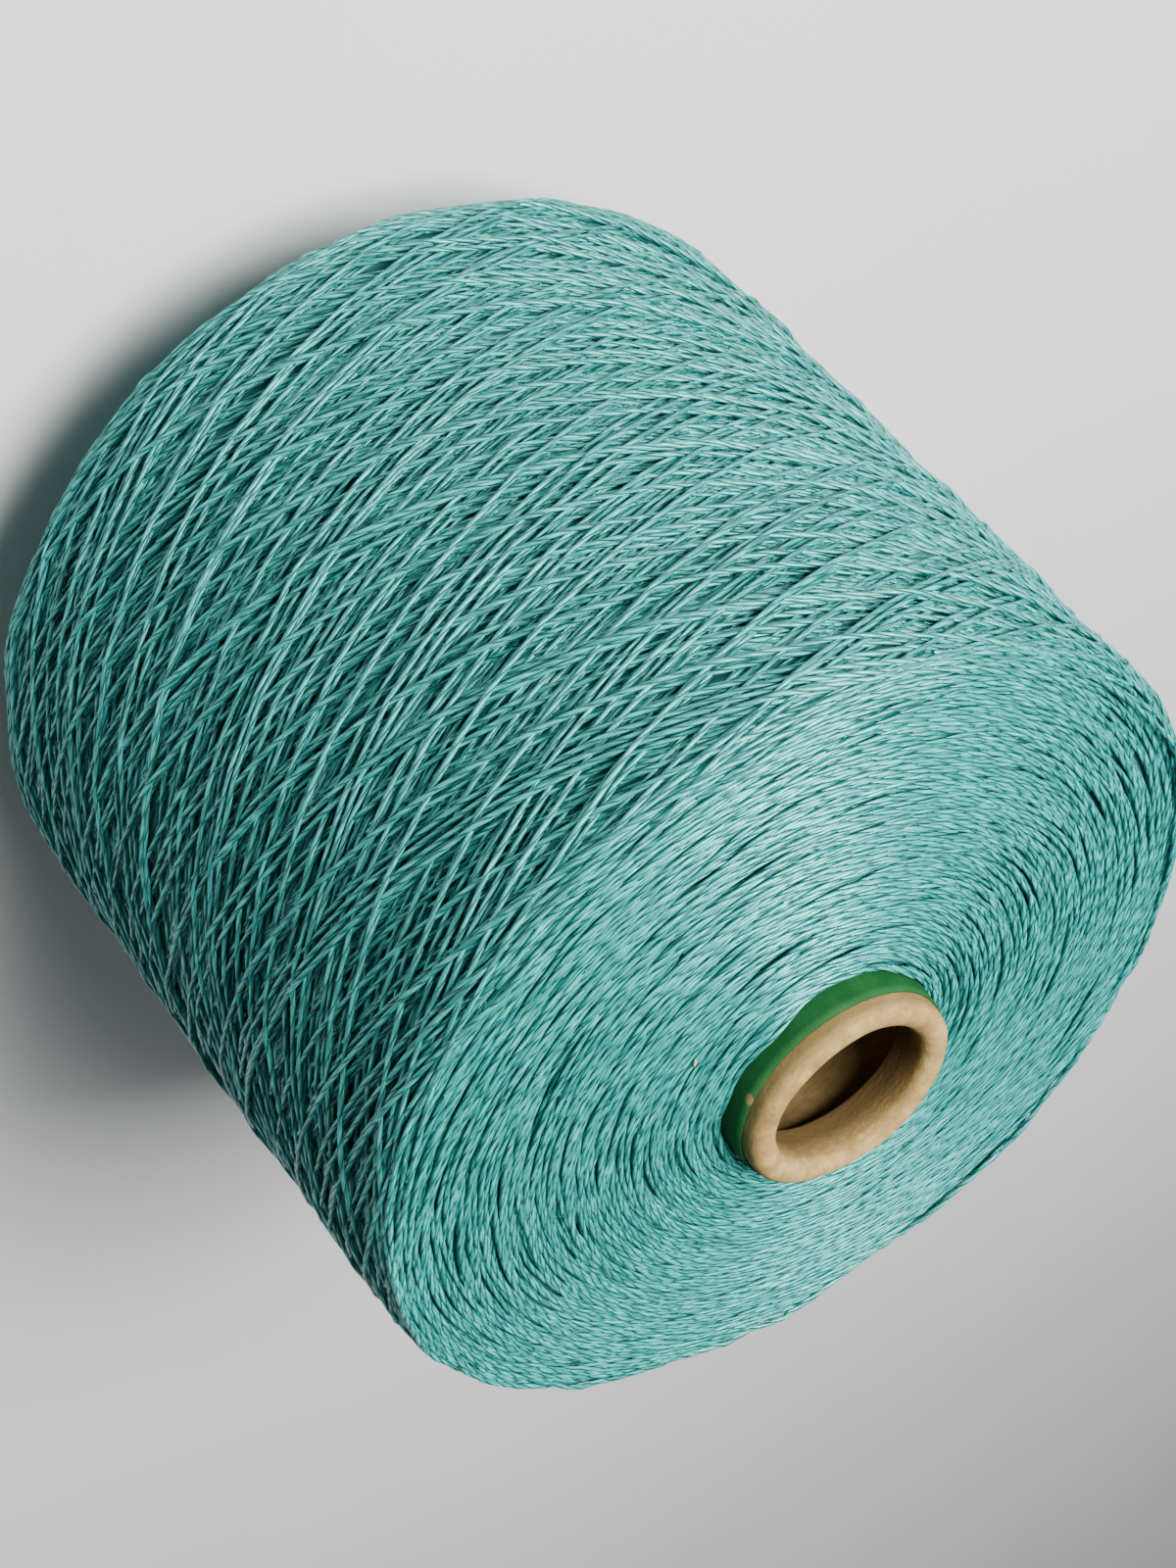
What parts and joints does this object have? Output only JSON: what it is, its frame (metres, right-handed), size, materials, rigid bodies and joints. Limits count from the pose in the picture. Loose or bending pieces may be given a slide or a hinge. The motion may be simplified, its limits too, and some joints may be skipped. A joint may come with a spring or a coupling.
{
  "type": "yarn cone",
  "caption": "Cone of yarn: a cross-wound package of two-ply yarn on a tapered paper cone with a turned-in nose, standing on the cone's base.",
  "frame": {"origin": "centre of the cone's base rim, in the plane that the cone stands on", "axes": "+Z along the cone's axis from its base to its nose; the part is a body of revolution, so +X and +Y are free"},
  "size_m": [0.1762, 0.1762, 0.17],
  "materials": {
    "kraft_board": "matte",
    "green_paper": "satin",
    "yarn": "matte"
  },
  "bodies": {
    "root": {"kraft_cone": "kraft_board", "cover_ply": "green_paper", "yarn_body": "yarn", "outer_wraps": "yarn", "transfer_tail": "yarn"}
  },
  "joints": []
}
